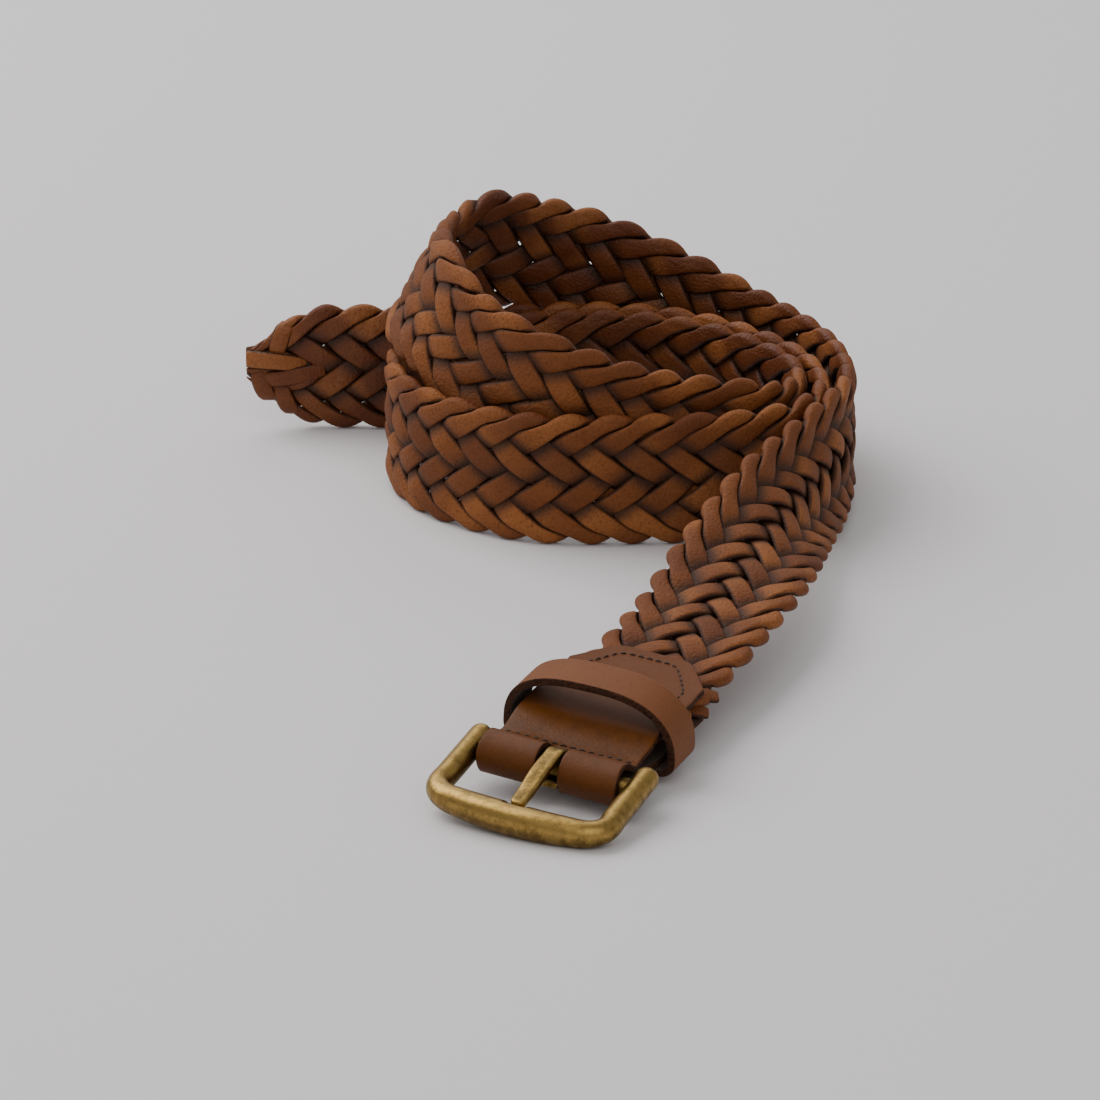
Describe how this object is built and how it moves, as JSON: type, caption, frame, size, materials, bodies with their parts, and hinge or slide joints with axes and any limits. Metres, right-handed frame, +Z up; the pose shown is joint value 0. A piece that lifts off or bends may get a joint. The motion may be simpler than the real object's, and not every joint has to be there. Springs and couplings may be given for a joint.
{
  "type": "braided leather belt",
  "caption": "Braided leather belt lying loosely coiled on its edge, with a folded leather end, a keeper loop and a brass prong buckle.",
  "frame": {"origin": "middle of the lying belt's bounding box, on the surface that it rests on", "axes": "+Z up; the buckle end points towards -Y; +X to the right as seen from the buckle"},
  "size_m": [0.1608, 0.2862, 0.0687],
  "materials": {
    "braid_leather": "matt pebbled brown, darker and glossier inside",
    "tab_leather": "smooth matt brown with dark edges",
    "antique_brass": "brushed, with dark patina"
  },
  "bodies": {
    "leather": {"braid": "braid_leather", "end_leather": "tab_leather", "keeper": "tab_leather"},
    "frame": {"buckle_frame": "antique_brass"},
    "tongue": {"buckle_tongue": "antique_brass"}
  },
  "joints": [
    {"name": "frame_hinge", "type": "hinge", "parent": "leather", "child": "frame", "pos_m": [0.00223, -0.11574, 0.00822], "axis": [-0.8928, 0.4463, 0.0608], "range_deg": [-130, 20]},
    {"name": "tongue_hinge", "type": "hinge", "parent": "frame", "child": "tongue", "pos_m": [0.00223, -0.11574, 0.00822], "axis": [-0.8928, 0.4463, 0.0608], "range_deg": [0, 80]}
  ]
}
